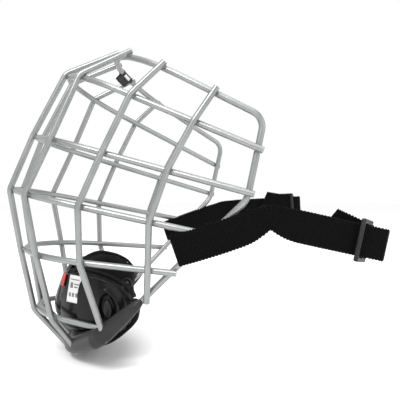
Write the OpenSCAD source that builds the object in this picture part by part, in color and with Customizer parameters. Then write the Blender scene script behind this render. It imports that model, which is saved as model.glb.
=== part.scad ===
// Hockey helmet cage: a welded wire face mask with a padded chin cup and two webbing straps.
// The wearer looks along -Y, +X is the wearer's left and +Z is up.
// The origin is the middle of the frame wire's forehead run, where a helmet's front clips hold it.
// "Forward" is towards -Y, "back" towards +Y and "down" towards -Z, all from the origin.

/* [Wire] */
// Diameter of every coated wire
wire_d = 4.2; // [3.6:0.1:4.6]
// How far two crossing wires sink into each other at a weld
weld_bite = 0.5; // [0.3:0.1:0.9]
// How far a wire's cut end runs past its weld
wire_overhang = 2.8; // [1:0.2:4]

/* [Frame wire] */
// Radius of the forehead arc
forehead_r = 74; // [66:1:80]
// Slope of the forehead run, falling to the rear, in degrees
forehead_slope = 29.5; // [22:0.5:36]
// Half width at the temple corners
temple_half_w = 88.5; // [82:0.5:94]
// Temple corners, back
temple_back = 94.5; // [85:0.5:105]
// Bend radius of the temple corners
temple_r = 11; // [8:1:16]
// Half width at the jaw corners
jaw_half_w = 90; // [84:0.5:96]
// Jaw corners, back
jaw_back = 83.5; // [76:0.5:92]
// Jaw corners, down
jaw_down = 104; // [94:1:112]
// Bend radius of the jaw corners
jaw_r = 16; // [10:1:24]
// Half width where the jaw runs turn in under the chin
heel_half_w = 57; // [50:0.5:64]
// Heel corners, forward
heel_forward = 8; // [0:0.5:14]
// Heel corners, down
heel_down = 197; // [188:1:204]
// Bend radius of the heel corners
heel_r = 22; // [12:1:30]
// Toe of the frame under the chin, forward
toe_forward = 32; // [26:0.5:38]
// Toe of the frame, down
toe_down = 212; // [206:0.5:218]
// Radius of the toe arc
toe_r = 60; // [50:1:64]

/* [Brow wire] */
// Middle of the brow wire, forward
brow_forward = 35; // [28:1:42]
// Middle of the brow wire, down
brow_down = 14.5; // [8:0.5:22]
// Front arc radius of the brow wire
brow_r = 64; // [56:1:72]
// Ends of the brow wire on the side bars, down
brow_end_down = 73; // [66:1:80]

/* [Eye wire] */
// Middle of the eye wire, forward
eye_forward = 58; // [50:1:64]
// Middle of the eye wire, down
eye_down = 59; // [52:1:66]
// Front arc radius of the eye wire
eye_r = 62; // [54:1:70]
// Ends of the eye wire on the side bars, down
eye_end_down = 100; // [94:1:103]

/* [Nose wire] */
// Middle of the nose wire, forward
nose_forward = 74; // [66:1:80]
// Middle of the nose wire, down
nose_down = 97; // [90:1:104]
// Front arc radius of the nose wire
nose_r = 66; // [58:1:72]
// Ends of the nose wire on the jaw runs, down
nose_end_down = 126; // [120:1:132]

/* [Mouth wire] */
// Middle of the mouth wire, forward
mouth_forward = 66.5; // [60:0.5:72]
// Middle of the mouth wire, down
mouth_down = 140; // [134:1:146]
// Front arc radius of the mouth wire
mouth_r = 67; // [60:1:70]
// Ends of the mouth wire on the jaw runs, down
mouth_end_down = 150; // [144:1:156]

/* [Chin wire] */
// Middle of the chin wire, forward
chin_forward = 58; // [52:1:64]
// Middle of the chin wire, down
chin_down = 183.5; // [178:0.5:190]
// Front arc radius of the chin wire
chin_r = 44; // [38:1:48]
// Ends of the chin wire at the heels, down
chin_end_down = 191; // [187:1:194]

/* [Uprights] */
// Bend radius of an upright at the brow and chin
upright_r = 8; // [5:1:12]
// Inner upright: distance along the horizontal wires from the middle
inner_at = 15; // [11:1:19]
// Front upright: distance along the horizontal wires from the middle
front_at = 50.5; // [45:0.5:56]
// Cheek upright: distance along the horizontal wires from the middle
cheek_at = 90; // [84:1:96]
// Side upright: distance along the horizontal wires from the middle
side_at = 134; // [126:1:140]
// Feet of the cheek uprights on the jaw runs, down
cheek_foot_down = 193; // [189:1:195]
// Feet of the side uprights on the jaw runs, down
side_foot_down = 166; // [160:1:172]

/* [Label tag] */
// Length of the tag along the frame wire
tag_l = 17; // [12:1:24]
// How far the folded flag stands off the wire
tag_h = 5; // [3:0.5:9]
// Thickness of the folded flag
tag_t = 0.9; // [0.6:0.1:1.4]
// Distance from the middle of the forehead arc to the middle of the tag
tag_at = 30; // [24:1:34]

/* [Chin cup] */
// Half width of the liner at its rear rim
cup_half_w = 46; // [42:0.5:49]
// Wall of the padded liner
liner_wall = 9; // [6:0.5:11]
// Wall of the moulded outer shell
shell_wall = 2.6; // [2:0.2:3.4]
// Gap between the shell and the liner
cup_gap = 0.3; // [0.1:0.1:0.6]
// Sideways lean of the cup on its wires, in degrees
cup_lean = 4; // [0:0.5:5]
// Greatest height of the trough that covers the toe wire
band_h = 14; // [12:0.5:17]
// Thickness of that trough
band_t = 10.4; // [9:0.2:12]
// How far the trough is set outwards, to cover the uprights' feet
band_out = 2.4; // [2:0.1:3.5]
// Oval stud, long axis
stud_l = 10; // [8:0.5:12]
// Oval stud, short axis
stud_w = 7; // [5:0.5:8]
// Diameter of the round snaps inside the wings
snap_d = 9; // [7:0.5:11]

/* [Straps] */
// Width of the webbing
web_w = 20; // [18:0.5:22]
// Thickness of the webbing
web_t = 1.4; // [1:0.1:1.8]
// Clearance between the webbing and what it passes
web_clear = 0.4; // [0.3:0.1:0.8]
// Where a strap's middle crosses the jaw run, down
strap_down = 130; // [127:0.5:134]
// Length of the loop from its front fold to the jaw run
fold_l = 20; // [17:0.5:23]
// Length of the loop from the jaw run to the crease behind it
crease_l = 43; // [38:1:48]
// Rise of the loop towards the rear, in degrees
loop_rise = 19; // [12:1:24]
// Flare of the loop outwards, in degrees
loop_flare = 14; // [10:1:18]
// Length of the strap behind the crease
tail_l = 76; // [66:1:90]
// Fall of the left strap behind its crease, in degrees
left_fall = 12.5; // [6:0.5:18]
// Rise of the right strap behind its crease, in degrees
right_rise = 3; // [0:0.5:8]
// Length of the webbing's free end
free_end_l = 24; // [16:1:30]
// Height of the slider
slider_h = 27; // [25:0.5:30]
// Thickness of the slider's plate
slider_t = 2.8; // [2.2:0.2:3.6]
// Width of the slider's bars
slider_bar = 2.6; // [2:0.2:3.2]
// Turn of the slider's plate from square across the strap, in degrees
slider_tilt = 40; // [20:1:45]
// Distance from the slider to the rear end of the strap
slider_from_end = 15; // [14:1:24]

/* [Hidden] */
$fn = 48;
wire_gap = wire_d - weld_bite;
seam = 0.02;
bead = 0.04;
BEAD_TURN = [20, 0, 40];
tag_clear = 0.05;
tag_hang = -77;
shell_back = -10;
shell_top = -158;
wing_t = 2;
stud_t = 1.8;
print_t = 0.5;
crease_gap = 1.15;
layer_gap = 0.3;

// --- vectors ---
function unit(v) = v / norm(v);
function mix(a, b, t) = a + (b - a) * t;
function mirror_x(v) = [-v.x, v.y, v.z];

// --- a wire's front arc, in the wire's own plane ---
// x is half width and y is distance back from the middle of the arc. A straight side run leaves the
// arc at the angle "turn" and ends at "end".
function arc_turn(r, end) = atan2(end.y - r, end.x) + asin(r / norm([end.x, end.y - r]));
function arc_at(r, turn, along) =
    let(t = along / r * 180 / PI)
    t <= turn ? [r * sin(t), r - r * cos(t)]
              : [r * sin(turn), r - r * cos(turn)]
                + (along - r * turn * PI / 180) * [cos(turn), sin(turn)];
function arc_heading(r, turn, along) =
    let(t = min(along / r * 180 / PI, turn)) [cos(t), sin(t)];

// --- corners of the frame wire, on the left side ---
temple = [temple_half_w, temple_back, -temple_back * tan(forehead_slope)];
jaw = [jaw_half_w, jaw_back, -jaw_down];
heel = [heel_half_w, -heel_forward, -heel_down];

// Point on the frame's side at a given height
function frame_side(down) =
    down < jaw_down ? mix(temple, jaw, (down + temple.z) / (jaw_down + temple.z))
                    : mix(jaw, heel, (down - jaw_down) / (heel_down - jaw_down));

// --- levels: forehead run, brow, eye, nose, mouth and chin wires, and the toe run ---
// [forward, down, radius, end point]
OUT = [wire_gap, 0, 0];
LEVELS = [
    [0, 0, forehead_r, temple],
    [brow_forward, brow_down, brow_r, frame_side(brow_end_down) + OUT],
    [eye_forward, eye_down, eye_r, frame_side(eye_end_down) + OUT],
    [nose_forward, nose_down, nose_r, frame_side(nose_end_down) + OUT],
    [mouth_forward, mouth_down, mouth_r, frame_side(mouth_end_down) + OUT],
    [chin_forward, chin_down, chin_r, frame_side(chin_end_down) - [wire_gap, 0, 0]],
    [toe_forward, toe_down, toe_r, heel]
];
FOREHEAD = 0;
BROW = 1;
EYE = 2;
NOSE = 3;
MOUTH = 4;
CHIN = 5;
TOE = 6;

function level_front(i) = [0, -LEVELS[i][0], -LEVELS[i][1]];
function level_back(i) = unit([0, LEVELS[i][3].y, LEVELS[i][3].z] - level_front(i));
function level_end(i) = [LEVELS[i][3].x, norm([0, LEVELS[i][3].y, LEVELS[i][3].z] - level_front(i))];
function level_turn(i) = arc_turn(LEVELS[i][2], level_end(i));
function level_place(i, p) = level_front(i) + [p.x, 0, 0] + p.y * level_back(i);
function level_at(i, along) = level_place(i, arc_at(LEVELS[i][2], level_turn(i), along));
function level_heading(i, along) =
    let(h = arc_heading(LEVELS[i][2], level_turn(i), along)) [h.x, 0, 0] + h.y * level_back(i);
// where the two side runs of a level would meet in front of its arc
function level_corner(i) =
    level_place(i, [0, LEVELS[i][2] - LEVELS[i][2] / cos(level_turn(i))]);

// --- a wire bent through points, each corner with its own radius ---
// A bead a hair thicker than the wire closes the seam between each straight run and each bend.
module rod(p, q) {
    v = q - p;
    l = norm(v);
    if (l > 0.02)
        translate(p)
            turned_to(v / l)
                cylinder(d = wire_d, h = l);
}

// turns +Z to a direction
module turned_to(d) {
    rotate([0, acos(d.z), atan2(d.y, d.x)])
        children();
}

module corner_bend(c, a, b, r) {
    turn = acos(a * b);
    tangent = r * tan(turn / 2);
    inward = unit(b - a * (a * b));
    centre = c - a * tangent + inward * r;
    axis = cross(a, inward);
    multmatrix([
        [-inward.x, a.x, axis.x, centre.x],
        [-inward.y, a.y, axis.y, centre.y],
        [-inward.z, a.z, axis.z, centre.z],
        [0, 0, 0, 1]
    ])
        rotate_extrude(angle = turn)
            translate([r, 0])
                circle(d = wire_d);
}

// tangent length of the bend at a corner
function cut(p, c, q, r) = r * tan(acos(unit(c - p) * unit(q - c)) / 2);

module bent_wire(pts, radii, closed = false) {
    n = len(pts);
    last = closed ? n - 1 : n - 2;
    for (i = [0 : last]) {
        p = pts[i];
        q = pts[(i + 1) % n];
        before = pts[(i + n - 1) % n];
        after = pts[(i + 2) % n];
        a = unit(q - p);
        starts_in_bend = closed || i > 0;
        ends_in_bend = closed || i < n - 2;
        start = p + a * (starts_in_bend ? cut(before, p, q, radii[i]) : 0);
        end = q - a * (ends_in_bend ? cut(p, q, after, radii[(i + 1) % n]) : 0);
        rod(start + a * (starts_in_bend ? seam : 0), end - a * (ends_in_bend ? seam : 0));
        if (starts_in_bend)
            translate(start)
                turned_to(a)
                    rotate(BEAD_TURN)
                        sphere(d = wire_d + bead);
        if (ends_in_bend) {
            translate(end)
                turned_to(a)
                    rotate(BEAD_TURN)
                        sphere(d = wire_d + bead);
            corner_bend(q, a, unit(after - q), radii[(i + 1) % n]);
        }
    }
}

// --- frame wire ---
module frame_wire() {
    color("silver")
        bent_wire([level_corner(FOREHEAD), mirror_x(temple), mirror_x(jaw), mirror_x(heel),
                   level_corner(TOE), heel, jaw, temple],
                  [forehead_r, temple_r, jaw_r, heel_r, toe_r, heel_r, jaw_r, temple_r], true);
}

// --- horizontal wires ---
module level_wire(i) {
    turn = level_turn(i);
    end = level_place(i, level_end(i) + wire_overhang * [cos(turn), sin(turn)]);
    color("silver")
        bent_wire([end, level_corner(i), mirror_x(end)], [0, LEVELS[i][2], 0]);
}

module brow_wire() { level_wire(BROW); }
module eye_wire() { level_wire(EYE); }
module nose_wire() { level_wire(NOSE); }
module mouth_wire() { level_wire(MOUTH); }
module chin_wire() { level_wire(CHIN); }

// --- uprights ---
// Where an upright crosses each level, before it is set outside the horizontal wires
INNER = concat([for (i = [FOREHEAD : MOUTH]) level_at(i, i == NOSE ? inner_at + 3 : inner_at)],
               [level_at(CHIN, inner_at - 4), level_at(TOE, inner_at - 3)]);
FRONT = concat([level_at(FOREHEAD, front_at - 6), level_at(BROW, front_at - 3.5)],
               [for (i = [EYE : MOUTH]) level_at(i, front_at + 1)],
               [level_at(CHIN, front_at - 9), level_at(TOE, front_at - 16)]);
CHEEK = [level_at(FOREHEAD, cheek_at - 11), level_at(BROW, cheek_at), level_at(EYE, cheek_at + 1),
         level_at(NOSE, cheek_at + 3), level_at(MOUTH, cheek_at - 4), frame_side(cheek_foot_down)];
SIDE = [level_at(FOREHEAD, side_at - 16), level_at(BROW, side_at + 2), level_at(EYE, side_at + 2),
        level_at(NOSE, side_at + 6), level_at(MOUTH, side_at - 4), frame_side(side_foot_down)];

function heading_at(route, k) =
    let(level = (len(route) == 6 && k == 5) ? -1 : k)
    level < 0 ? unit(jaw - heel) : level_heading(level, level_along(level, route[k]));
// distance along a level's wire of a point on it
function level_along(i, p) =
    let(r = LEVELS[i][2], turn = level_turn(i), s = (p - level_front(i)) * level_back(i),
        t = atan2(p.x, r - s))
    t <= turn ? r * t * PI / 180
              : r * turn * PI / 180 + norm([p.x, s] - arc_at(r, turn, r * turn * PI / 180));

// The upright lies outside each wire it crosses, along the pair's common perpendicular
function upright_point(route, k) =
    let(n = len(route) - 1, down = unit(route[min(k + 1, n)] - route[max(k - 1, 0)]))
    route[k] + wire_gap * unit(cross(down, heading_at(route, k)));

module upright(route, side) {
    n = len(route) - 1;
    on = [for (k = [0 : n]) upright_point(route, k)];
    top = on[0] + wire_overhang * unit(on[0] - on[1]);
    foot = on[n] + wire_overhang * unit(on[n] - on[n - 1]);
    pts = concat([top], [for (k = [1 : n - 1]) on[k]], [foot]);
    color("silver")
        mirror([side < 0 ? 1 : 0, 0, 0])
            bent_wire(pts, [for (p = pts) upright_r]);
}

module inner_upright_left() { upright(INNER, 1); }
module inner_upright_right() { upright(INNER, -1); }
module front_upright_left() { upright(FRONT, 1); }
module front_upright_right() { upright(FRONT, -1); }
module cheek_upright_left() { upright(CHEEK, 1); }
module cheek_upright_right() { upright(CHEEK, -1); }
module side_upright_left() { upright(SIDE, 1); }
module side_upright_right() { upright(SIDE, -1); }

// --- label tag on the forehead run, right side ---
// A sleeve that follows the forehead arc, with its two ends folded together as a flag.
module label_tag() {
    turn = tag_l / forehead_r * 180 / PI;
    middle = tag_at / forehead_r * 180 / PI;
    back = level_back(FOREHEAD);
    up = cross([1, 0, 0], back);
    centre = level_place(FOREHEAD, [0, forehead_r]);
    color("black")
        multmatrix([
            [1, 0, 0, centre.x],
            [0, back.y, up.y, centre.y],
            [0, back.z, up.z, centre.z],
            [0, 0, 0, 1]
        ])
            rotate([0, 0, -90 - middle - turn / 2])
                rotate_extrude(angle = turn)
                    translate([forehead_r, 0])
                        tag_section();
}

module tag_section() {
    difference() {
        union() {
            circle(d = wire_d + 2 * tag_t);
            rotate(tag_hang)
                translate([0, -tag_t])
                    square([wire_d / 2 + tag_h, 2 * tag_t]);
        }
        circle(d = wire_d + 2 * tag_clear);
    }
}

// --- chin cup ---
// Middles of the padding's thickness at the liner's corners, on the left side
CUP = [
    [0, -31, -167],
    [0, -35, -182],
    [cup_half_w - 18, -25, -161],
    [cup_half_w - 9, -10, -161],
    [cup_half_w - 8, 8, -171],
    [cup_half_w - 20, 8, -185],
    [cup_half_w - 30, -8, -194],
    [cup_half_w - 28, -27, -194]
];
pad_r = liner_wall;
shell_r = pad_r + cup_gap + shell_wall;
wing_r = shell_r + cup_gap;
CUP_PIVOT = [0, -toe_forward, -toe_down];

// The whole cup leans a little to one side on its wires
module leaning() {
    translate(CUP_PIVOT)
        rotate([0, cup_lean, 0])
            translate(-CUP_PIVOT)
                children();
}

module cup_hull(r, shift = [0, 0, 0], rise = 0) {
    hull()
        for (c = CUP, side = [-1, 1], lift = [0, rise])
            translate([side * c.x, c.y, c.z] + shift + [0, lift * 0.5, lift])
                sphere(r, $fn = 24);
}

module cup_liner() {
    color("dimgray")
        leaning()
            difference() {
                cup_hull(pad_r);
                cup_hull(pad_r * 0.25, [0, 6, 14], 40);
            }
}

module cup_shell() {
    color([0.2, 0.2, 0.2])
        leaning()
            difference() {
                cup_hull(shell_r);
                cup_hull(shell_r - shell_wall);
                translate([-100, shell_back, -300])
                    cube([200, 100, 300]);
                translate([-100, -100, shell_top])
                    cube([200, 200, 100]);
            }
}

module lip_cushion() {
    color([0.12, 0.12, 0.12])
        leaning()
            difference() {
                hull()
                    for (side = [-1, 1], c = [[18, -13, -208.5], [27, 4, -201], [25, 14, -193]])
                        translate([side * c.x, c.y, c.z])
                            sphere(5.5, $fn = 20);
                cup_hull(shell_r + cup_gap);
            }
}

// Whatever lies in a skin of the given thickness wrapped over the shell
module on_shell(from, t) {
    leaning()
        intersection() {
            difference() {
                cup_hull(from + t);
                cup_hull(from);
            }
            children();
        }
}

// Side wings wrapped over the shell, each held by an oval stud
module cup_wing(side) {
    color([0.22, 0.22, 0.22])
        on_shell(wing_r, wing_t)
            on_side(side)
                polygon([[-19, -175], [-15, -165], [4, -164], [7, -172], [5, -187], [-3, -196],
                         [-12, -194]]);
}

module stud(side) {
    color([0.3, 0.3, 0.3])
        on_shell(wing_r + wing_t, stud_t)
            on_side(side)
                translate([-4, -177])
                    rotate(75)
                        oval(stud_l, stud_w);
}

// Draws an outline in the side view, y across and z up, and carries it through one side of the cup
module on_side(side) {
    mirror([side < 0 ? 1 : 0, 0, 0])
        rotate([90, 0, 90])
            linear_extrude(100)
                children();
}

module oval(l, w) {
    square([l - w, w], center = true);
    for (end = [-1, 1])
        translate([end * (l - w) / 2, 0])
            circle(d = w);
}

module snap(side) {
    color([0.15, 0.15, 0.15])
        leaning()
            mirror([side < 0 ? 1 : 0, 0, 0])
                translate([cup_half_w - 8 - pad_r * 0.25 - 1.6, 9, -166])
                    rotate([0, 90, 0])
                        cylinder(d = snap_d, h = 1.4);
}

module cup_wing_left() { cup_wing(1); }
module cup_wing_right() { cup_wing(-1); }
module stud_left() { stud(1); }
module stud_right() { stud(-1); }
module snap_left() { snap(1); }
module snap_right() { snap(-1); }

// Draws an outline in the front view, x across and z up, and carries it forward through the cup
module on_front() {
    rotate([90, 0, 0])
        linear_extrude(100)
            children();
}

module cup_sticker() {
    color("white")
        on_shell(shell_r, print_t)
            on_front()
                polygon([[14, -162], [29, -163], [27, -180], [15, -179]]);
}

module cup_stripe() {
    color("tomato")
        on_shell(shell_r, print_t)
            on_front()
                polygon([[3, -162], [6, -162], [5, -173], [3, -173]]);
}

// --- trough over the toe of the frame ---
// A flattened sleeve along the frame's low run, deepest on each side and slim at the toe and tips.
function band_place(t) =
    let(reach = heel_along + heel_to_tip, along = abs(t) * reach,
        p = along < heel_along ? level_at(TOE, along)
                               : mix(heel, band_tip, (along - heel_along) / heel_to_tip))
    t < 0 ? mirror_x(p) : p;
band_tip = frame_side(side_foot_down + 1);
heel_along = level_along(TOE, heel);
heel_to_tip = norm(band_tip - heel);

module band() {
    stations = 48;
    sides = 12;
    ring = [for (k = [0 : stations])
        let(t = 1 - 2 * k / stations, here = band_place(t),
            along = unit(band_place(max(-1, t - 0.03)) - band_place(min(1, t + 0.03))),
            out = -unit(cross(along, [0, 0, 1])), up = -cross(out, along),
            tip = sqrt(max(0.02, 1 - pow(abs(t), 8))), swell = pow(sin(180 * abs(t)), 2),
            h = tip * (band_t + (band_h - band_t) * swell), w = tip * band_t)
        [for (j = [0 : sides - 1]) let(a = 360 * j / sides)
            here + up * ((h - w) / 2 + h / 2 * sin(a)) + out * (band_out * tip + w / 2 * cos(a))]];
    color([0.3, 0.3, 0.3])
        tube(ring);
}

// closed solid through rings of points
module tube(rings) {
    n = len(rings[0]);
    m = len(rings);
    pts = [for (r = rings, p = r) p];
    walls = [for (k = [0 : m - 2], j = [0 : n - 1])
        let(a = k * n + j, b = k * n + (j + 1) % n) [a, b, b + n, a + n]];
    caps = [[for (j = [n - 1 : -1 : 0]) j], [for (j = [0 : n - 1]) (m - 1) * n + j]];
    polyhedron(pts, concat(walls, caps), convexity = 6);
}

// --- straps ---
// The strap's own axes: x runs to the rear along it, y inwards and z up the width of the webbing.
module strap_axes(place, rise, flare = 0) {
    multmatrix([
        [0, -1, 0, place.x],
        [cos(rise), 0, -sin(rise), place.y],
        [sin(rise), 0, cos(rise), place.z],
        [0, 0, 0, 1]
    ])
        rotate([0, 0, -flare])
            children();
}

strap_at = frame_side(strap_down);
crease = strap_at + crease_l * [sin(loop_flare), cos(loop_flare) * cos(loop_rise),
                                cos(loop_flare) * sin(loop_rise)];
web_edge = web_w / 2;
slot_w = (web_t + 2 * web_clear) / cos(slider_tilt) + slider_t * tan(slider_tilt);
slider_w = 3 * slider_bar + 2 * slot_w;
layer_at = (slider_bar + slot_w) / 2 * cos(slider_tilt);
slider_at = tail_l - slider_from_end;

// smooth line through a few points
function smooth_line(p, steps = 5) =
    let(n = len(p) - 1)
    concat([for (k = [0 : n - 1], i = [0 : steps - 1])
        let(a = p[max(k - 1, 0)], b = p[k], c = p[k + 1], d = p[min(k + 2, n)], t = i / steps)
        0.5 * (2 * b + (c - a) * t + (2 * a - 5 * b + 4 * c - d) * t * t
               + (3 * b - a - 3 * c + d) * t * t * t)], [p[n]]);
function line_normal(l, k) =
    let(n = len(l) - 1, d = unit(l[min(k + 1, n)] - l[max(k - 1, 0)])) [-d.y, d.x];
function ribbon(l, t) =
    concat([for (k = [0 : len(l) - 1]) l[k] + line_normal(l, k) * t / 2],
           [for (k = [len(l) - 1 : -1 : 0]) l[k] - line_normal(l, k) * t / 2]);
function half_circle(c, r, way, steps = 8) =
    [for (k = [1 : steps - 1]) let(a = way * 180 * k / steps - 90) c + r * [cos(a), sin(a)]];

// The left strap hangs a little lower than the right one
function tail_rise(side) = side < 0 ? right_rise : -left_fall;

// Half of space on one side of the mitre at the crease
module crease_half(side, to_rear) {
    strap_axes(crease, (loop_rise + tail_rise(side)) / 2, loop_flare / 2)
        translate([to_rear ? crease_gap : -200 - crease_gap, -60, -60])
            cube([200, 120, 120]);
}

// The loop round the jaw run and the end of the nose wire: outer layer, front fold, inner layer
module strap_loop(side) {
    outer = -(wire_gap + wire_d / 2 + web_clear + web_t / 2);
    inner = wire_d / 2 + web_clear + web_t / 2;
    layer = web_t / 2 + layer_gap;
    fold = [inner - 0.6, outer + 3];
    fold_r = (fold[0] - fold[1]) / 2;
    fold_x = fold_r + web_t / 2 - fold_l;
    line = concat(
        smooth_line([[crease_l + 5, -layer], [crease_l - 4, -layer - 0.1], [24, outer + 2],
                     [12, outer], [0, outer], [-8, outer + 1], [fold_x, fold[1]]]),
        half_circle([fold_x, (fold[0] + fold[1]) / 2], fold_r, -1),
        smooth_line([[fold_x, fold[0]], [-8, inner], [0, inner], [12, inner], [24, inner - 0.7],
                     [crease_l - 4, layer + 0.1], [crease_l + 5, layer]]));
    color([0.1, 0.1, 0.1])
        mirror([side < 0 ? 1 : 0, 0, 0])
            intersection() {
                strap_axes(strap_at, loop_rise, loop_flare)
                    translate([0, 0, -web_edge])
                        linear_extrude(web_w)
                            polygon(ribbon(line, web_t));
                crease_half(side, false);
            }
}

// The strap behind the crease: outer layer, rear fold, inner layer
module strap_tail(side) {
    layer = web_t / 2 + layer_gap;
    fold_x = tail_l - layer_at - web_t / 2;
    line = concat(
        smooth_line([[-5, -layer], [3, -layer], [22, -layer_at], [30, -layer_at]]),
        [for (x = [fold_x - 20, fold_x]) [x, -layer_at]],
        half_circle([fold_x, 0], layer_at, 1),
        [for (x = [fold_x, fold_x - 20]) [x, layer_at]],
        smooth_line([[30, layer_at], [22, layer_at], [3, layer], [-5, layer]]));
    color([0.1, 0.1, 0.1])
        mirror([side < 0 ? 1 : 0, 0, 0])
            intersection() {
                strap_axes(crease, tail_rise(side))
                    translate([0, 0, -web_edge])
                        linear_extrude(web_w)
                            polygon(ribbon(line, web_t));
                crease_half(side, true);
            }
}

// Three-bar slider; a layer of webbing passes through each slot
module slider(side) {
    color([0.35, 0.35, 0.35])
        mirror([side < 0 ? 1 : 0, 0, 0])
            strap_axes(crease, tail_rise(side))
                translate([slider_at, 0, 0])
                    rotate([0, 90, -slider_tilt])
                        linear_extrude(slider_t, center = true)
                            difference() {
                                rounded_square(slider_h, slider_w, slider_bar / 2);
                                for (slot = [-1, 1])
                                    translate([0, slot * (slider_bar + slot_w) / 2])
                                        square([web_w + 2 * web_clear, slot_w], center = true);
                            }
}

module rounded_square(l, w, r) {
    square([l - 2 * r, w], center = true);
    square([l, w - 2 * r], center = true);
    for (x = [-1, 1], y = [-1, 1])
        translate([x * (l / 2 - r), y * (w / 2 - r)])
            circle(r);
}

// The webbing's free end, which leaves the slider's inner bar and lies along the inner layer
module free_end(side) {
    start = layer_at + web_t + web_clear;
    bar = (slider_w - slider_bar) / 2;
    line = smooth_line([[bar * sin(slider_tilt), bar * cos(slider_tilt)], [0, start + 0.3],
                        [-6, start], [-free_end_l, start]]);
    color([0.1, 0.1, 0.1])
        mirror([side < 0 ? 1 : 0, 0, 0])
            strap_axes(crease, tail_rise(side))
                translate([slider_at, 0, 2 - web_edge])
                    rotate([0, 6, 0])
                        linear_extrude(web_w)
                            polygon(ribbon(line, web_t));
}

module strap_loop_left() { strap_loop(1); }
module strap_loop_right() { strap_loop(-1); }
module strap_tail_left() { strap_tail(1); }
module strap_tail_right() { strap_tail(-1); }
module slider_left() { slider(1); }
module slider_right() { slider(-1); }
module free_end_left() { free_end(1); }
module free_end_right() { free_end(-1); }

frame_wire();
brow_wire();
eye_wire();
nose_wire();
mouth_wire();
chin_wire();
inner_upright_left();
inner_upright_right();
front_upright_left();
front_upright_right();
cheek_upright_left();
cheek_upright_right();
side_upright_left();
side_upright_right();
label_tag();
cup_liner();
cup_shell();
lip_cushion();
cup_wing_left();
cup_wing_right();
stud_left();
stud_right();
snap_left();
snap_right();
cup_sticker();
cup_stripe();
band();
strap_loop_left();
strap_loop_right();
strap_tail_left();
strap_tail_right();
slider_left();
slider_right();
free_end_left();
free_end_right();
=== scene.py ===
import math

import bmesh
import bpy
from mathutils import Matrix, Vector, noise
from mathutils.bvhtree import BVHTree


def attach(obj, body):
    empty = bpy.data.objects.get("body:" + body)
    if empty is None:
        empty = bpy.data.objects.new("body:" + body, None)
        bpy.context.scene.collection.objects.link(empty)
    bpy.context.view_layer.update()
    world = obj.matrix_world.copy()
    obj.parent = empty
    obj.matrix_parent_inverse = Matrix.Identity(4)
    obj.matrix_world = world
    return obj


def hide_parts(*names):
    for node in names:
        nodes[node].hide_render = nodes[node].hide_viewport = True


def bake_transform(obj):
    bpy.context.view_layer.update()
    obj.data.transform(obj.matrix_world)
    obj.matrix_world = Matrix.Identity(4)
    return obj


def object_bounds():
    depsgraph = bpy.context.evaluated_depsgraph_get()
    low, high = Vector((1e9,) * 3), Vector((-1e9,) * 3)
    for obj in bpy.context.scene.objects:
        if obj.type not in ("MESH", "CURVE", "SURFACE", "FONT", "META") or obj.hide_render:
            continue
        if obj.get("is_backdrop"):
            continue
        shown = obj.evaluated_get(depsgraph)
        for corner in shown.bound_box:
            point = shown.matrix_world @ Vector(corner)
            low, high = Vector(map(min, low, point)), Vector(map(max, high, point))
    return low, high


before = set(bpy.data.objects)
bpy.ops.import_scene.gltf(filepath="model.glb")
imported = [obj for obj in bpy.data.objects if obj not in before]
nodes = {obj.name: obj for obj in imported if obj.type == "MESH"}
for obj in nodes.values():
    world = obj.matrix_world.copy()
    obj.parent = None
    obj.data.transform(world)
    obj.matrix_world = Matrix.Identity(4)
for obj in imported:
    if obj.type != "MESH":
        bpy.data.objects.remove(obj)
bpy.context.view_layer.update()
MM = 0.001


# ---------------------------------------------------------------- materials
class Mat:
    """A material and short ways to add nodes to it."""

    def __init__(self, name, **values):
        self.m = bpy.data.materials.new(name)
        self.m.use_nodes = True
        self.t = self.m.node_tree
        self.shader = self.t.nodes["Principled BSDF"]
        for key, value in values.items():
            self.shader.inputs[key.replace("_", " ")].default_value = value

    def node(self, kind, inputs=None, **attributes):
        n = self.t.nodes.new(kind)
        for key, value in attributes.items():
            setattr(n, key, value)
        for key, value in (inputs or {}).items():
            if isinstance(value, bpy.types.NodeSocket):
                self.t.links.new(value, n.inputs[key])
            else:
                n.inputs[key].default_value = value
        return n

    def place(self):
        return self.node("ShaderNodeTexCoord").outputs["Object"]

    def uv(self):
        return self.node("ShaderNodeUVMap", uv_map="UVMap").outputs["UV"]

    def noise(self, vector, scale, detail=2.0, rough=0.5):
        n = self.node("ShaderNodeTexNoise", {"Vector": vector, "Scale": scale, "Detail": detail,
                                             "Roughness": rough})
        return n.outputs["Fac"]

    def math(self, operation, *values):
        n = self.node("ShaderNodeMath", operation=operation)
        for i, v in enumerate(values):
            if isinstance(v, bpy.types.NodeSocket):
                self.t.links.new(v, n.inputs[i])
            else:
                n.inputs[i].default_value = v
        return n.outputs[0]

    def spread(self, fac, low, high, lo=0.0, hi=1.0):
        n = self.node("ShaderNodeMapRange", {"Value": fac, "From Min": lo, "From Max": hi,
                                             "To Min": low, "To Max": high})
        return n.outputs["Result"]

    def ramp(self, fac, stops):
        n = self.node("ShaderNodeValToRGB", {"Fac": fac})
        e = n.color_ramp.elements
        while len(e) < len(stops):
            e.new(0.5)
        for item, (at, colour) in zip(e, stops):
            item.position = at
            item.color = (*colour, 1)
        return n.outputs["Color"]

    def to(self, key, socket):
        self.t.links.new(socket, self.shader.inputs[key])

    def bump(self, height, distance, strength=1.0, under=None):
        given = {"Height": height, "Distance": distance, "Strength": strength}
        if under is not None:
            given["Normal"] = under
        return self.node("ShaderNodeBump", given).outputs["Normal"]


def grey(v, warm=0.0):
    return (v * (1 + warm), v, v * (1 - warm))


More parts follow.
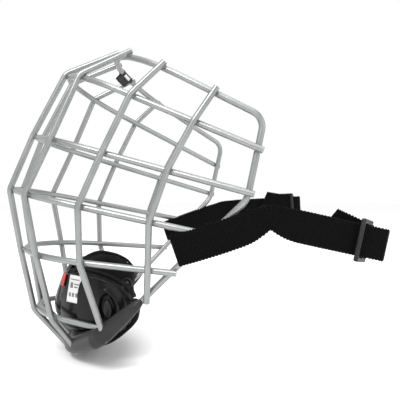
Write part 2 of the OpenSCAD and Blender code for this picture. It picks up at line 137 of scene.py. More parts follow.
def wire_material():
    m = Mat("wire_coat", Metallic=0.75, Coat_Weight=0.1, Coat_Roughness=0.3)
    p = m.place()
    m.to("Base Color", m.ramp(m.noise(p, 60, 4, 0.6), [(0.3, (0.235, 0.238, 0.24)),
                                                      (0.7, (0.285, 0.288, 0.29))]))
    m.to("Roughness", m.spread(m.noise(p, 220, 3), 0.28, 0.42))
    orange_peel = m.bump(m.noise(p, 900, 2), 0.000008, 0.5)
    m.to("Normal", m.bump(m.noise(p, 90, 2), 0.00005, 0.4, orange_peel))
    return m.m


def moulded_material(name, low, high, rough=(0.42, 0.58), grain=2200, depth=0.00005, warm=0.0):
    m = Mat(name, Specular_IOR_Level=0.2)
    p = m.place()
    m.to("Base Color", m.ramp(m.noise(p, 45, 4, 0.6), [(0.35, grey(low, warm)), (0.7, grey(high, warm))]))
    m.to("Roughness", m.spread(m.noise(p, 160, 4), *rough))
    grain_bump = m.bump(m.noise(p, grain, 3, 0.6), depth, 0.7)
    m.to("Normal", m.bump(m.noise(p, 130, 2), 0.00015, 0.4, grain_bump))
    return m.m


def cloth_material(name, low, high, warm=0.0, pitch=0.0007, rough=(0.72, 0.9)):
    """Fine plain-woven cloth: two crossed sets of threads in the object's own space."""
    m = Mat(name, Sheen_Weight=0.01, Sheen_Roughness=0.45, Specular_IOR_Level=0.1)
    p = m.place()
    x = m.node("ShaderNodeSeparateXYZ", {"Vector": p})
    turn = 2 * math.pi / pitch
    a = m.math("SINE", m.math("MULTIPLY", m.math("ADD", x.outputs["X"], x.outputs["Y"]), turn))
    b = m.math("SINE", m.math("MULTIPLY", m.math("SUBTRACT", x.outputs["Z"],
                                                 m.math("MULTIPLY", x.outputs["Y"], 0.35)), turn))
    weave = m.math("MULTIPLY", a, b)
    cloud = m.noise(p, 55, 5, 0.65)
    m.to("Base Color", m.ramp(m.math("ADD", m.math("MULTIPLY", weave, 0.12), cloud),
                              [(0.3, grey(low, warm)), (0.75, grey(high, warm))]))
    m.to("Roughness", m.spread(m.noise(p, 300, 3), *rough))
    threads = m.bump(weave, 0.00012, 0.6)
    m.to("Normal", m.bump(m.noise(p, 700, 4, 0.7), 0.00025, 0.5, threads))
    return m.m


def webbing_material():
    """Woven polyester: u runs along the strap and v across it, in metres."""
    m = Mat("webbing_weave", Sheen_Weight=0.005, Sheen_Roughness=0.5, Specular_IOR_Level=0.06)
    x = m.node("ShaderNodeSeparateXYZ", {"Vector": m.uv()})
    u, v = x.outputs["X"], x.outputs["Y"]
    columns, picks = 0.00125, 0.0016
    side = m.math("PINGPONG", v, columns)
    slant = m.math("MULTIPLY", side, 0.9)
    yarn = m.math("SINE", m.math("MULTIPLY", m.math("ADD", u, slant), 2 * math.pi / picks))
    ridge = m.math("SINE", m.math("MULTIPLY", v, math.pi / columns))
    ridge = m.math("ABSOLUTE", ridge)
    weave = m.math("ADD", m.math("MULTIPLY", yarn, 0.35), m.math("MULTIPLY", ridge, 0.5))
    p = m.place()
    fuzz = m.noise(p, 2600, 3, 0.7)
    tone = m.math("ADD", m.math("MULTIPLY", weave, 0.45), m.math("MULTIPLY", fuzz, 0.45))
    m.to("Base Color", m.ramp(tone, [(0.2, grey(0.0004)), (0.55, grey(0.002)), (0.9, grey(0.03))]))
    m.to("Roughness", m.spread(fuzz, 0.55, 0.8))
    fibres = m.bump(fuzz, 0.00015, 0.5)
    m.to("Normal", m.bump(weave, 0.00045, 0.9, fibres))
    return m.m


def print_material(name, ground, ink, bars, rough=0.38):
    """Film with plain bars: no lettering."""
    m = Mat(name)
    x = m.node("ShaderNodeSeparateXYZ", {"Vector": m.uv()})
    u, v = x.outputs["X"], x.outputs["Y"]
    mask = None
    for u0, u1, v0, v1 in bars:
        box = m.math("MULTIPLY",
                     m.math("MULTIPLY", m.math("GREATER_THAN", u, u0), m.math("LESS_THAN", u, u1)),
                     m.math("MULTIPLY", m.math("GREATER_THAN", v, v0), m.math("LESS_THAN", v, v1)))
        mask = box if mask is None else m.math("MAXIMUM", mask, box)
    worn = m.math("MULTIPLY", mask, m.spread(m.noise(m.place(), 900, 3), 0.75, 1.0))
    m.to("Base Color", m.ramp(worn, [(0.0, ground), (1.0, ink)]))
    m.to("Roughness", m.spread(m.noise(m.place(), 350, 2), rough, rough + 0.12))
    m.to("Normal", m.bump(m.noise(m.place(), 260, 2), 0.0001, 0.5))
    return m.m


WIRE = wire_material()
SHELL = moulded_material("shell_moulding", 0.003, 0.007, (0.16, 0.28), 1800, 0.00008, 0.03)
WING = moulded_material("wing_moulding", 0.003, 0.006, (0.2, 0.32), 1800, 0.00008, 0.03)
BAND = moulded_material("band_moulding", 0.016, 0.024, (0.30, 0.42), 2600, 0.00005)
STUD = moulded_material("stud_moulding", 0.014, 0.024, (0.35, 0.5))
SLIDER = moulded_material("slider_moulding", 0.012, 0.022, (0.34, 0.48))
LINER = cloth_material("liner_cloth", 0.005, 0.013, 0.05)
CUSHION = cloth_material("cushion_cloth", 0.002, 0.006, 0.02, 0.0009)
SNAP = moulded_material("snap_moulding", 0.008, 0.014, (0.3, 0.42))
SEAM = cloth_material("seam_thread", 0.006, 0.012, 0.02, 0.0005)
WEBBING = webbing_material()
TAG = print_material("tag_cloth", grey(0.006), grey(0.75),
                     [(0.15, 0.72, 0.62, 0.72), (0.15, 0.5, 0.42, 0.5), (0.62, 0.85, 0.3, 0.5)], 0.6)
STICKER = print_material("sticker_film", grey(0.62), grey(0.07),
                         [(0.12, 0.88, 0.8, 0.84), (0.16, 0.4, 0.5, 0.7), (0.48, 0.84, 0.62, 0.67),
                          (0.48, 0.76, 0.52, 0.57), (0.14, 0.3, 0.2, 0.34), (0.38, 0.54, 0.2, 0.34),
                          (0.62, 0.86, 0.2, 0.34)])
STRIPE = print_material("stripe_film", (0.5, 0.02, 0.015), (0.4, 0.015, 0.01), [(0.2, 0.8, 0.1, 0.2)])


# ---------------------------------------------------------------- mesh helpers
def add(name, bm, material, body="cage", smooth=True):
    mesh = bpy.data.meshes.new(name)
    bm.normal_update()
    bm.to_mesh(mesh)
    bm.free()
    mesh.materials.append(material)
    for poly in mesh.polygons:
        poly.use_smooth = smooth
    o = bpy.data.objects.new(name, mesh)
    bpy.context.collection.objects.link(o)
    if body:
        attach(o, body)
    return o


def copy_of(node, name, material):
    o = nodes[node].copy()
    o.data = nodes[node].data.copy()
    o.name = name
    o.parent = None
    bpy.context.collection.objects.link(o)
    o.data.materials.clear()
    o.data.materials.append(material)
    return o


def paint(node, material):
    o = nodes[node]
    o.data.materials.clear()
    o.data.materials.append(material)
    for slot in o.material_slots:
        slot.material = material


def smooth_line(points, steps=6):
    """Catmull-Rom line through points."""
    out, n = [], len(points) - 1
    for k in range(n):
        a, b, c, d = (Vector(points[max(0, min(n, i))]) for i in (k - 1, k, k + 1, k + 2))
        for i in range(steps):
            t = i / steps
            out.append(0.5 * (2 * b + (c - a) * t + (2 * a - 5 * b + 4 * c - d) * t * t
                              + (3 * b - a - 3 * c + d) * t ** 3))
    out.append(Vector(points[-1]))
    return out


# ---------------------------------------------------------------- wires
WIRES = ["frame_wire", "brow_wire", "eye_wire", "nose_wire", "mouth_wire", "chin_wire"]
UPRIGHTS = [f"{k}_upright_{s}" for k in ("inner", "front", "cheek", "side") for s in ("left", "right")]
for name in WIRES + UPRIGHTS:
    paint(name, WIRE)


# ---------------------------------------------------------------- chin cup
PIVOT = Vector((0, -32, -212)) * MM
LEAN = Matrix.Translation(PIVOT) @ Matrix.Rotation(math.radians(4.5), 4, "Y") @ Matrix.Translation(-PIVOT)
# Each row goes round the cup: [angle from the front, rim, widest line, lower edge] on the left side, in mm
CUP_LINES = [
    (0, (0, -37, -155), (0, -45, -178), (0, -40, -194)),
    (20, (15, -36, -153), (17, -43, -178), (13, -38, -195)),
    (40, (29, -30, -150.5), (32, -34, -179), (22, -31, -197)),
    (62, (40, -19, -150), (43, -19, -179), (29, -19, -198)),
    (82, (45, -5, -153.5), (46, -5, -180), (32, -6, -198)),
    (100, (46, 7, -160), (45, 7, -182), (31, 5, -197)),
    (116, (44, 15, -169), (41, 15, -184), (27, 14, -194)),
]
CUP_FLOOR = (0, -10, -205)


def across(values, k):
    """Catmull-Rom between the entries of a list, at the real-valued index k."""
    n = len(values) - 1
    i = min(int(k), n - 1)
    t = k - i
    a, b, c, d = (Vector(values[max(0, min(n, j))]) for j in (i - 1, i, i + 1, i + 2))
    return 0.5 * (2 * b + (c - a) * t + (2 * a - 5 * b + 4 * c - d) * t * t
                  + (3 * b - a - 3 * c + d) * t ** 3)


def cup_point(angle, t):
    """A point of the cup's outer surface. t runs from 0 at the rim to 1 under the chin."""
    side = -1 if angle < 0 else 1
    angles = [row[0] for row in CUP_LINES]
    here = min(abs(angle), angles[-1])
    i = max(j for j in range(len(angles) - 1) if angles[j] <= here)
    k = i + (here - angles[i]) / (angles[i + 1] - angles[i])
    rim, wide, low = (across([row[j] for row in CUP_LINES], k) for j in (1, 2, 3))
    floor = Vector(CUP_FLOOR).lerp(Vector((0, low.y, low.z)), 0.45)
    p = across([rim, wide, low, floor], t * 3)
    return Vector((p.x * side, p.y, p.z)) * MM


def cup_normal(angle, t, d=0.6):
    along = cup_point(angle + d, t) - cup_point(angle - d, t)
    down = cup_point(angle, min(1, t + 0.01)) - cup_point(angle, max(0, t - 0.01))
    return along.cross(down).normalized() * -1


def cup_patch(name, angles, ts, offset, thickness, material, shape=None, outline=None):
    """A sheet of the cup's surface between two angles, set off outwards, with a thickness inwards."""
    bm = bmesh.new()
    na, nt = len(angles), len(ts)
    front, back = [], []
    for layer, out in ((front, offset), (back, offset - thickness)):
        for a in angles:
            for t in ts:
                lift = shape(a, t) if shape and layer is front else 0
                p = cup_point(a, t) + cup_normal(a, t) * (out + lift)
                layer.append(bm.verts.new(LEAN @ p))
    uvs = {}
    for layer in (front, back):
        for i in range(na):
            for j in range(nt):
                uvs[layer[i * nt + j]] = (i / (na - 1), 1 - j / (nt - 1))
    keep = [[outline is None or outline((angles[i] + angles[i + 1]) / 2, (ts[j] + ts[j + 1]) / 2)
             for j in range(nt - 1)] for i in range(na - 1)]

    def kept(i, j):
        return 0 <= i < na - 1 and 0 <= j < nt - 1 and keep[i][j]

    for i in range(na - 1):
        for j in range(nt - 1):
            if not keep[i][j]:
                continue
            q = [i * nt + j, (i + 1) * nt + j, (i + 1) * nt + j + 1, i * nt + j + 1]
            bm.faces.new([front[k] for k in q])
            bm.faces.new([back[k] for k in reversed(q)])
            for a, b, di, dj in ((0, 1, 0, -1), (1, 2, 1, 0), (2, 3, 0, 1), (3, 0, -1, 0)):
                if not kept(i + di, j + dj):
                    bm.faces.new([front[q[b]], front[q[a]], back[q[a]], back[q[b]]])
    loose = [v for v in bm.verts if not v.link_faces]
    bmesh.ops.delete(bm, geom=loose, context="VERTS")
    layer = bm.loops.layers.uv.new("UVMap")
    for face in bm.faces:
        for loop in face.loops:
            if loop.vert in uvs:
                loop[layer].uv = uvs[loop.vert]
    bmesh.ops.recalc_face_normals(bm, faces=bm.faces)
    return add(name, bm, material)


def steps(a, b, n):
    return [a + (b - a) * k / n for k in range(n + 1)]


def bevel(o, width, segments=3, angle=35):
    m = o.modifiers.new("edge", "BEVEL")
    m.width = width
    m.segments = segments
    m.limit_method = "ANGLE"
    m.angle_limit = math.radians(angle)
    m.harden_normals = False


def apply_all(o):
    dg = bpy.context.evaluated_depsgraph_get()
    mesh = bpy.data.meshes.new_from_object(o.evaluated_get(dg))
    o.modifiers.clear()
    o.data = mesh


def subdivide(o, levels=1):
    m = o.modifiers.new("smooth", "SUBSURF")
    m.levels = m.render_levels = levels


def soften(o, voxel, times, factor=0.5):
    """Remesh to even cells and relax, which rounds every edge."""
    m = o.modifiers.new("cells", "REMESH")
    m.mode = "VOXEL"
    m.voxel_size = voxel
    m = o.modifiers.new("relax", "SMOOTH")
    m.factor = factor
    m.iterations = times
    apply_all(o)
    for p in o.data.polygons:
        p.use_smooth = True


def puff(o, voxel, pressure, cap, frames=20):
    """Inflate a closed pad as cloth and keep no point further than cap from where it was."""
    m = o.modifiers.new("cells", "REMESH")
    m.mode = "VOXEL"
    m.voxel_size = voxel
    apply_all(o)
    before = [v.co.copy() for v in o.data.vertices]
    c = o.modifiers.new("cloth", "CLOTH")
    c.settings.quality = 6
    c.settings.mass = 0.2
    c.settings.use_pressure = True
    c.settings.uniform_pressure_force = pressure
    c.settings.tension_stiffness = 12
    c.settings.compression_stiffness = 12
    c.settings.bending_stiffness = 0.6
    c.settings.effector_weights.gravity = 0
    c.point_cache.frame_start, c.point_cache.frame_end = 1, frames
    for k in range(1, frames + 1):
        bpy.context.scene.frame_set(k)
    apply_all(o)
    bpy.context.scene.frame_set(1)
    for v, was in zip(o.data.vertices, before):
        move = v.co - was
        if move.length > cap:
            v.co = was + move * (cap / move.length)
    m = o.modifiers.new("relax", "SMOOTH")
    m.factor = 0.5
    m.iterations = 4
    apply_all(o)
    for p in o.data.polygons:
        p.use_smooth = True


def tube_along(name, points, radius, material, sides=10, closed=False, flat=1.0, body="cage"):
    """A round cord laid along points."""
    bm = bmesh.new()
    rings, n = [], len(points)
    normal = None
    for k, p in enumerate(points):
        a = points[(k - 1) % n] if closed else points[max(0, k - 1)]
        b = points[(k + 1) % n] if closed else points[min(n - 1, k + 1)]
        d = (b - a).normalized()
        if normal is None:
            normal = d.orthogonal().normalized()
        normal = (normal - d * normal.dot(d)).normalized()
        other = d.cross(normal)
        r = radius(k / (n - 1)) if callable(radius) else radius
        rings.append([bm.verts.new(p + normal * r * math.cos(2 * math.pi * j / sides)
                                   + other * r * flat * math.sin(2 * math.pi * j / sides))
                      for j in range(sides)])
    last = n if closed else n - 1
    for k in range(last):
        r, s = rings[k], rings[(k + 1) % n]
        shift = 0
        if closed and k == n - 1:
            shift = min(range(sides), key=lambda h: (r[0].co - s[h].co).length)
        for j in range(sides):
            bm.faces.new([r[j], r[(j + 1) % sides], s[(j + 1 + shift) % sides], s[(j + shift) % sides]])
    if not closed:
        bm.faces.new(list(reversed(rings[0])))
        bm.faces.new(rings[-1])
    bmesh.ops.recalc_face_normals(bm, faces=bm.faces)
    return add(name, bm, material, body)


def near(value, at, width):
    return max(0.0, 1 - abs(value - at) / width)


# liner: a padded sheet inside the shell, open to the rear and up
def liner():
    angles, ts = steps(-120, 120, 80), steps(-0.02, 1, 26)
    o = cup_patch("chin_liner", angles, ts, -3.4 * MM, 7.2 * MM, LINER)
    puff(o, 2.4 * MM, 3.5, 2.2 * MM)
    return o


def on_cup(angle, t, offset):
    return LEAN @ (cup_point(angle, t) + cup_normal(angle, t) * offset)


def shell_shape(a, t):
    """Panels stand a little proud, with grooves between them."""
    dent = 0.0
    side = abs(a)
    dent -= 1.8 * near(side, 30, 2.4) * (1 if t > 0.28 else 0)
    dent -= 1.8 * near(t, 0.44 + 0.0016 * side, 0.03) * (1 if side < 62 else 0)
    dent += 0.5 * (1 if side < 26 and t < 0.46 else 0)
    return dent * MM


def shell():
    def inside(a, t):
        corner = abs(a) > 58 and t < 0.1 + (abs(a) - 58) * 0.012
        return not corner
    angles, ts = steps(-80, 80, 128), steps(0.05, 0.985, 72)
    o = cup_patch("chin_shell", angles, ts, 0.0, 2.6 * MM, SHELL, shell_shape, inside)
    m = o.modifiers.new("relax", "SMOOTH")
    m.factor = 0.5
    m.iterations = 3
    bevel(o, 0.5 * MM, 2, 50)
    return o


# Middle and half size of an oval stud: degrees round the cup, and share of the way down it
STUD_ANGLE, STUD_HALF = 84, 3.7
STUD_T, STUD_HALF_T = 0.25, 0.065


def wing(side, name):
    """A side flap over the shell, with a raised ring and a well for the stud."""
    def inside(a, t):
        x, y = (abs(a) - 79) / 24, (t - 0.28) / 0.25
        return abs(x) ** 3 + abs(y) ** 3 < 1

    def shape(a, t):
        x, y = (abs(a) - STUD_ANGLE) / 6.2, (t - STUD_T) / 0.095
        r = math.hypot(x, y)
        ring = 1.3 * near(r, 1.35, 0.3)
        well = -1.9 * (1 if r < 1.12 else 0)
        return (ring + well) * MM

    angles = steps(side * 52, side * 104, 78)
    o = cup_patch(name, angles, steps(0.02, 0.56, 64), 2.3 * MM, 2.0 * MM, WING, shape, inside)
    m = o.modifiers.new("relax", "SMOOTH")
    m.factor = 0.5
    m.iterations = 4
    return o


def close_loft(bm, loops):
    """Skin rings of equal length, with a cap at both ends."""
    n = len(loops[0])
    for r, s in zip(loops, loops[1:]):
        for j in range(n):
            bm.faces.new([r[j], r[(j + 1) % n], s[(j + 1) % n], s[j]])
    bm.faces.new(loops[-1])
    bm.faces.new(list(reversed(loops[0])))
    bmesh.ops.recalc_face_normals(bm, faces=bm.faces)


def stud(side, name):
    """A domed oval button that stands in the well of the wing."""
    bm = bmesh.new()
    rings, sides = 7, 28

    def oval(share, height):
        places = []
        for j in range(sides):
            w = 2 * math.pi * j / sides
            angle = side * (STUD_ANGLE + STUD_HALF * share * math.cos(w))
            t = STUD_T + STUD_HALF_T * share * math.sin(w)
            places.append(bm.verts.new(on_cup(angle, t, height * MM)))
        return places

    loops = []
    for k in range(rings):
        w = math.pi / 2 * k / rings
        loops.append(oval(math.cos(w), 2.4 + 1.8 * math.sin(w)))
    loops.insert(0, oval(1, 0.2))
    close_loft(bm, loops)
    return add(name, bm, STUD)


def snap(side, name):
    """A round rivet sunk in the inside of the liner."""
    bm = bmesh.new()
    # [radius, height off the cup's surface]: rim, ring groove and centre dimple
    profile = [(5.2, -11.6), (5.2, -12.3), (4.5, -12.9), (3.6, -12.5),
               (2.9, -11.8), (1.6, -11.9), (0.9, -12.4)]
    here = on_cup(side * 103, 0.34, 0)
    out = (on_cup(side * 103, 0.34, 1 * MM) - here).normalized()
    x = out.orthogonal().normalized()
    y = out.cross(x)
    loops = [[bm.verts.new(here + out * h * MM + (x * math.cos(w) + y * math.sin(w)) * r * MM)
              for w in (2 * math.pi * j / 32 for j in range(32))] for r, h in profile]
    close_loft(bm, loops)
    return add(name, bm, SNAP)


def lip_pad():
    """The rounded cushion behind the lower edge of the trough, under the wearer's chin."""
    line = smooth_line([(0, -18, -205.5), (0, -10, -204), (0, -1, -200), (0, 7, -194), (0, 13, -188.5),
                        (0, 15, -184)], 5)
    bm = bmesh.new()
    loops, n = [], len(line)
    for k, p in enumerate(line):
        u = k / (n - 1)
        d = (line[min(n - 1, k + 1)] - line[max(0, k - 1)]).normalized()
        out = Vector((0, -d.z, d.y))
        end = max(0.05, 1 - (2 * u - 1) ** 6) ** 0.5
        half = (31 - 5 * u) * end
        thick = 4.6 * end
        loop = []
        for j in range(40):
            w = 2 * math.pi * j / 40
            c, s = math.cos(w), math.sin(w)
            x = math.copysign(abs(c) ** 0.7, c) * half
            y = math.copysign(abs(s) ** 0.8, s) * thick
            sag = 0.002 * x * x
            loop.append(bm.verts.new(LEAN @ (Vector((x, p.y, p.z - sag)) * MM + out * y * MM)))
        loops.append(loop)
    close_loft(bm, loops)
    o = add("lip_pad", bm, CUSHION)
    puff(o, 2.0 * MM, 3.0, 1.2 * MM)
    return o


pad = liner()
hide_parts("cup_liner")
subdivide(pad)
rim_line = [on_cup(a, 0.0, -7.0 * MM) + Vector((0, 0, 0.2 * MM)) for a in steps(-108, 108, 110)]
rim = tube_along("liner_binding", rim_line, 1.3 * MM, SEAM, 8, flat=0.8)
body_shell = shell()
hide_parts("cup_shell")
lip = lip_pad()
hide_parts("lip_cushion")
subdivide(lip)
for side, word in ((1, "left"), (-1, "right")):
    o = wing(side, f"wing_{word}")
    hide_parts(f"cup_wing_{word}")
    o = stud(side, f"oval_stud_{word}")
    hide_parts(f"stud_{word}")
    o = snap(side, f"rivet_{word}")
    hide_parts(f"snap_{word}")

label = cup_patch("label", steps(42, 58, 16), steps(0.06, 0.25, 14), 0.7 * MM, 0.35 * MM, STICKER,
                  lambda a, t: shell_shape(a, t) * 0.6)
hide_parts("cup_sticker")
stripe = cup_patch("red_stripe", steps(27, 34, 8), steps(0.06, 0.16, 10), 1.1 * MM, 0.35 * MM, STRIPE)
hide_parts("cup_stripe")


# ---------------------------------------------------------------- straps
WEB_W, WEB_T = 20.0, 1.4
STRAP_AT = Vector((80.77, 57.92, -130.0))
CREASE = Vector((91.177, 97.369, -116.416))
FLARE, RISE = math.radians(14), math.radians(19)
LEFT_TAIL, RIGHT_TAIL = math.radians(-12.5), math.radians(3)
FOLD_AT = 72.3
SLIDER_AT = 61.0
LAYER = 2.995
# weave: width of a yarn, spacing of the picks, and how proud each stands
YARN, PICK, RIB_RELIEF, PICK_RELIEF = 1.54, 2.3, 0.09, 0.12
TOOTH, TOOTH_PITCH = 0.3, 2.2


def axes(rise, flare=0.0):
    """Along the strap to the rear, inwards, and up its width."""
    c, s = math.cos(rise), math.sin(rise)
    along = Vector((math.sin(flare), math.cos(flare) * c, math.cos(flare) * s))
    inward = Vector((-math.cos(flare), math.sin(flare) * c, math.sin(flare) * s))
    return along, inward, Vector((0, -s, c))


def mirror(v, side):
    return Vector((v.x * side, v.y, v.z))


def tail_rise(side):
    return LEFT_TAIL if side > 0 else RIGHT_TAIL


def strap_frames(side):
    """Points of the closed loop of webbing: [place, up], outer layer first, in mm on the left side."""
    a1, n1, u1 = axes(RISE, FLARE)
    a2, n2, u2 = axes(tail_rise(side))

    def loop(s, n, lean=0.0):
        return STRAP_AT + a1 * s + n1 * n, (u1 + a1 * lean).normalized()

    def tail(s, n):
        return CREASE + a2 * s + n2 * n, u2

    def at_crease(n):
        up = (u1 + u2).normalized()
        return CREASE + (n1 + n2).normalized() * n, up

    rows = []
    rows += [loop(-16.0, -3.9), loop(-8, -6.0), loop(0, -6.9), loop(12, -6.9), loop(24, -4.9),
             loop(35, -1.9), at_crease(-1.0), tail(9, -1.7), tail(20, -2.7), tail(34, -LAYER),
             tail(48, -LAYER), tail(62, -LAYER), tail(FOLD_AT, -LAYER)]
    rows += [tail(FOLD_AT + LAYER * math.sin(w), -LAYER * math.cos(w)) for w in (0.6, 1.2, 1.9, 2.5)]
    rows += [tail(FOLD_AT, LAYER), tail(62, LAYER), tail(48, LAYER), tail(34, LAYER), tail(20, 2.7),
             tail(9, 1.7), at_crease(1.0), loop(35, 1.2), loop(24, 2.5), loop(12, 3.2), loop(0, 3.2),
             loop(-8, 3.2), loop(-16.0, 2.6)]
    rows += [loop(-16.05 - 3.25 * math.sin(w), -0.65 + 3.25 * math.cos(w)) for w in (0.6, 1.2, 1.9, 2.5)]
    return rows


def ribbon(name, rows, closed, body, side, crease_at=None, end_cut=0.0, step=0.55):
    """Webbing of real thickness with selvedge teeth, along [place, up] rows."""
    n = len(rows)
    count = n if closed else n - 1
    dense = []
    for k in range(count):
        pick = [rows[(k + j) % n] if closed else rows[max(0, min(n - 1, k + j))] for j in (-1, 0, 1, 2)]
        for i in range(12):
            t = i / 12
            a, b, c, d = (q[0] for q in pick)
            p = 0.5 * (2 * b + (c - a) * t + (2 * a - 5 * b + 4 * c - d) * t * t
                       + (3 * b - a - 3 * c + d) * t ** 3)
            dense.append((p, pick[1][1].lerp(pick[2][1], t).normalized()))
    if closed:
        dense.append(dense[0])
    else:
        dense.append(rows[-1])
    length = [0.0]
    for (a, _), (b, _) in zip(dense, dense[1:]):
        length.append(length[-1] + (b - a).length)
    total = length[-1]
    cells = int(total / step)
    stations, k = [], 0
    for i in range(cells if closed else cells + 1):
        s = total * i / cells
        while k < len(length) - 2 and length[k + 1] < s:
            k += 1
        t = (s - length[k]) / max(1e-9, length[k + 1] - length[k])
        stations.append((s, dense[k][0].lerp(dense[k + 1][0], t), dense[k][1].lerp(dense[k + 1][1], t)))
    columns = 26
    bm = bmesh.new()
    rings = []
    for i, (s, p, up) in enumerate(stations):
        a = stations[i - 1][1] if (closed or i > 0) else p
        b = stations[(i + 1) % len(stations)][1] if (closed or i < len(stations) - 1) else p
        along = (b - a).normalized()
        up = (up - along * up.dot(along)).normalized()
        normal = along.cross(up)
        narrow, curl = 1.0, 0.0
        if crease_at is not None:
            g = math.exp(-((p - crease_at).length / 10.0) ** 2)
            narrow = 1 - 0.24 * g
            curl = 1.3 * g
            p = p + up * 1.6 * g
        ring = []
        for face in (1, -1):
            for j in range(columns + 1):
                v = -1 + 2 * j / columns
                v *= face
                tooth = TOOTH * math.sin(2 * math.pi * s / TOOTH_PITCH) * (1 if abs(v) > 0.99 else 0)
                wide = (WEB_W / 2 * narrow + tooth) * v
                edge = max(0.0, (abs(v) - 0.90) / 0.10)
                thick = WEB_T / 2 * (1 - 0.55 * edge * edge)
                rib = RIB_RELIEF * math.cos(2 * math.pi * wide / YARN) * (1 - edge)
                zigzag = 0.8 * abs((wide / YARN) % 2 - 1)
                pick = PICK_RELIEF * math.sin(2 * math.pi * (s + zigzag) / PICK) * (1 - edge)
                bow = curl * (v * v - 0.35)
                slant = end_cut * v * max(0.0, (s - total + 8) / 8) if not closed else 0.0
                q = p + up * wide + normal * (face * (thick + rib + pick) + bow) + along * slant
                ring.append((bm.verts.new(mirror(q, side) * MM), s, wide))
        rings.append(ring)
    layer = bm.loops.layers.uv.new("UVMap")
    m = len(rings[0])
    pairs = len(rings) if closed else len(rings) - 1
    for i in range(pairs):
        r, q = rings[i], rings[(i + 1) % len(rings)]
        for j in range(m):
            k = (j + 1) % m
            face = bm.faces.new([r[j][0], r[k][0], q[k][0], q[j][0]])
            s0 = r[j][1]
            s1 = q[j][1] if i + 1 < len(rings) else total
            for loop, uv in zip(face.loops, ((s0, r[j][2]), (s0, r[k][2]), (s1, q[k][2]), (s1, q[j][2]))):
                loop[layer].uv = (uv[0] * MM, uv[1] * MM)
    if not closed:
        bm.faces.new([v[0] for v in reversed(rings[0])])
        bm.faces.new([v[0] for v in rings[-1]])
    bmesh.ops.recalc_face_normals(bm, faces=bm.faces)
    return add(name, bm, WEBBING, body)


def slider_piece(side, word):
    o = copy_of(f"slider_{word}", f"slider_frame_{word}", SLIDER)
    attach(o, f"slider_unit_{word}")
    bm = bmesh.new()
    bm.from_mesh(o.data)
    bmesh.ops.remove_doubles(bm, verts=bm.verts, dist=1e-5)
    bmesh.ops.dissolve_limit(bm, angle_limit=math.radians(2), verts=bm.verts, edges=bm.edges)
    bm.to_mesh(o.data)
    bm.free()
    bevel(o, 1.05 * MM, 4, 50)
    for p in o.data.polygons:
        p.use_smooth = True
    return o


def free_end_rows(side):
    a2, n2, u2 = axes(tail_rise(side))
    lift = math.radians(12)
    along = a2 * math.cos(lift) - u2 * math.sin(lift)
    up = u2 * math.cos(lift) + a2 * math.sin(lift)
    base = CREASE + a2 * SLIDER_AT + u2 * 2
    bar_s, bar_n = 7.8 * math.sin(math.radians(40)), 7.8 * math.cos(math.radians(40))
    line = [(bar_s + 0.4, bar_n), (2.8, 5.6), (0, 5.1), (-6, 4.85), (-14, 4.9), (-24, 5.3)]
    return [(base + along * s + n2 * n, up) for s, n in line]


for side, word in ((1, "left"), (-1, "right")):
    strap = ribbon(f"strap_{word}", strap_frames(side), True, None, side, CREASE)
    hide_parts(f"strap_loop_{word}", f"strap_tail_{word}")
    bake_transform(strap)
    end = ribbon(f"web_end_{word}", free_end_rows(side), False, f"slider_unit_{word}", side, None, -3.0)
    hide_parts(f"free_end_{word}")
    o = slider_piece(side, word)
    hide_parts(f"slider_{word}")

# ---------------------------------------------------------------- band and tag
band = copy_of("band", "toe_band", BAND)
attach(band, "cage")
soften(band, 1.1 * MM, 10)
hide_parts("band")


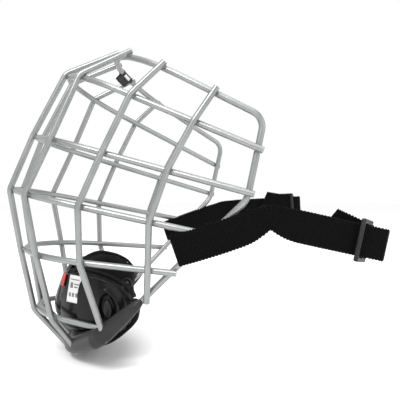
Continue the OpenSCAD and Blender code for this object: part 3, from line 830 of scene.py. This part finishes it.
def tag():
    """A strip of cloth round the forehead wire, its two ends sewn together as a flag."""
    r, slope = 74.0, math.radians(29.5)
    radius = 2.1 + 0.35
    hang = math.radians(-77)
    bm = bmesh.new()
    section = [(radius * math.cos(w), radius * math.sin(w))
               for w in (hang + 0.35 + (2 * math.pi - 0.7) * k / 26 for k in range(27))]
    reach = 7.4
    d, e = (math.cos(hang), math.sin(hang)), (-math.sin(hang), math.cos(hang))
    flap = lambda s, o: (d[0] * s + e[0] * o, d[1] * s + e[1] * o)
    root, last = 2.7, 7
    out_leg = [flap(root + (reach - root) * k / last, 0.42 - 0.06 * k / last * math.sin(k))
               for k in range(last + 1)]
    in_leg = [flap(root + (reach - 0.9 - root) * k / last, -0.42 + 0.05 * k / last * math.sin(k))
              for k in range(last, -1, -1)]
    line = list(reversed(out_leg)) + section + list(reversed(in_leg))
    thick = 0.28
    n = 22
    a0, a1 = (30 - 8.5) / r, (30 + 8.5) / r
    rows = []
    for i in range(n + 1):
        t = a0 + (a1 - a0) * i / n
        row = []
        for k, (x, y) in enumerate(line):
            p, q = line[max(0, k - 1)], line[min(len(line) - 1, k + 1)]
            tx, ty = q[0] - p[0], q[1] - p[1]
            length = math.hypot(tx, ty) or 1
            nx, ny = -ty / length, tx / length
            for sgn in (1, -1):
                rad, up = x + nx * sgn * thick / 2, y + ny * sgn * thick / 2
                wave = 0.25 * math.sin(i * 0.9) * max(0.0, math.hypot(x, y) - 4) / 4
                h, b = (r + rad + wave) * math.sin(t), r - (r + rad + wave) * math.cos(t)
                row.append(bm.verts.new(Vector((-h, b * math.cos(slope) + up * math.sin(slope),
                                                -b * math.sin(slope) + up * math.cos(slope))) * MM))
        rows.append(row)
    uv = bm.loops.layers.uv.new("UVMap")
    m = len(line)

    def quad(verts, uvs):
        face = bm.faces.new(verts)
        for loop, c in zip(face.loops, uvs):
            loop[uv].uv = c

    for i in range(n):
        for k in range(m - 1):
            for s in (0, 1):
                here, there = 2 * k + s, 2 * k + 2 + s
                q = [rows[i][here], rows[i + 1][here], rows[i + 1][there], rows[i][there]]
                c = [(i / n, k / (m - 1)), ((i + 1) / n, k / (m - 1)), ((i + 1) / n, (k + 1) / (m - 1)),
                     (i / n, (k + 1) / (m - 1))]
                quad(q, c)
        for k in (0, m - 1):
            q = [rows[i][2 * k], rows[i + 1][2 * k], rows[i + 1][2 * k + 1], rows[i][2 * k + 1]]
            quad(q, [(0, 0)] * 4)
    for i in (0, n):
        for k in range(m - 1):
            quad([rows[i][2 * k], rows[i][2 * k + 1], rows[i][2 * k + 3], rows[i][2 * k + 2]], [(0, 0)] * 4)
    bmesh.ops.recalc_face_normals(bm, faces=bm.faces)
    return add("cloth_tag", bm, TAG)


flag = tag()
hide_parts("label_tag")


# ---------------------------------------------------------------- weld beads
def touches(a, b):
    """Points where the surfaces of two meshes cross: edges of each, cast against the other."""
    found = []
    for (mesh, tree), (other_mesh, other) in ((a, b), (b, a)):
        faces = {f for f, _ in tree.overlap(other)}
        edges = {key for f in faces for key in mesh.polygons[f].edge_keys}
        for i, j in edges:
            p, q = mesh.vertices[i].co, mesh.vertices[j].co
            hit = other.ray_cast(p, (q - p).normalized(), (q - p).length)[0]
            if hit is not None:
                found.append(hit)
    return found


def weld_beads():
    """A small fused bead in the corner of every crossing of two wires."""
    trees = {}
    for name in WIRES + UPRIGHTS:
        mesh = nodes[name].data
        tree = BVHTree.FromPolygons([v.co for v in mesh.vertices], [p.vertices[:] for p in mesh.polygons])
        trees[name] = (mesh, tree)
    names = list(trees)
    bm = bmesh.new()
    for i, a in enumerate(names):
        for b in names[i + 1:]:
            groups = []
            for h in touches(trees[a], trees[b]):
                for g in groups:
                    if (g[0] - h).length < 7 * MM:
                        g.append(h)
                        break
                else:
                    groups.append([h])
            for g in groups:
                centre = sum(g, Vector()) / len(g)
                made = bmesh.ops.create_icosphere(bm, subdivisions=3, radius=1.75 * MM)
                for v in made["verts"]:
                    bump = 1 + 0.12 * noise.noise(v.co * 900 + centre * 4000)
                    v.co = v.co * bump + centre
    return add("weld_beads", bm, WIRE)


beads = weld_beads()


# ---------------------------------------------------------------- floor, light, camera
def stage():
    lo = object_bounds()[0]
    bm = bmesh.new()
    bmesh.ops.create_grid(bm, x_segments=8, y_segments=8, size=6)
    bmesh.ops.translate(bm, verts=bm.verts, vec=(0, 0, lo.z - 0.002))
    mesh = bpy.data.meshes.new("floor")
    bm.to_mesh(mesh)
    bm.free()
    m = Mat("floor_paper", Roughness=0.9)
    m.to("Base Color", m.ramp(m.noise(m.place(), 3, 3), [(0.3, grey(0.965)), (0.7, grey(0.985))]))
    mesh.materials.append(m.m)
    floor = bpy.data.objects.new("floor", mesh)
    bpy.context.collection.objects.link(floor)
    floor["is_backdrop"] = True


def area_light(name, at, aim, size, power):
    data = bpy.data.lights.new(name, "AREA")
    data.size = size
    data.energy = power
    o = bpy.data.objects.new(name, data)
    o.location = at
    o.rotation_mode = "QUATERNION"
    o.rotation_quaternion = (Vector(aim) - Vector(at)).to_track_quat("-Z", "Y")
    bpy.context.collection.objects.link(o)


stage()
MIDDLE = (0, 0.03, -0.11)
area_light("key", (0.75, -0.45, 0.75), MIDDLE, 0.4, 10)
area_light("top", (0.1, 0.1, 1.1), MIDDLE, 0.9, 7)
area_light("fill", (0.5, 0.9, 0.3), MIDDLE, 0.8, 3)
world = bpy.data.worlds.new("studio")
bpy.context.scene.world = world
world.use_nodes = True
world.node_tree.nodes["Background"].inputs["Color"].default_value = (1, 1, 1, 1)
world.node_tree.nodes["Background"].inputs["Strength"].default_value = 1.0

camera = bpy.data.cameras.new("camera")
camera.sensor_width = 36
camera.lens = 45
camera.clip_start = 0.01
eye = bpy.data.objects.new("camera", camera)
eye.location = (0.390, 0.023, -0.101)
eye.rotation_mode = "QUATERNION"
eye.rotation_quaternion = Vector((-0.99445, 0.10470, -0.01033)).to_track_quat("-Z", "Y")
bpy.context.collection.objects.link(eye)
bpy.context.scene.camera = eye
bpy.context.scene.view_settings.view_transform = "Standard"
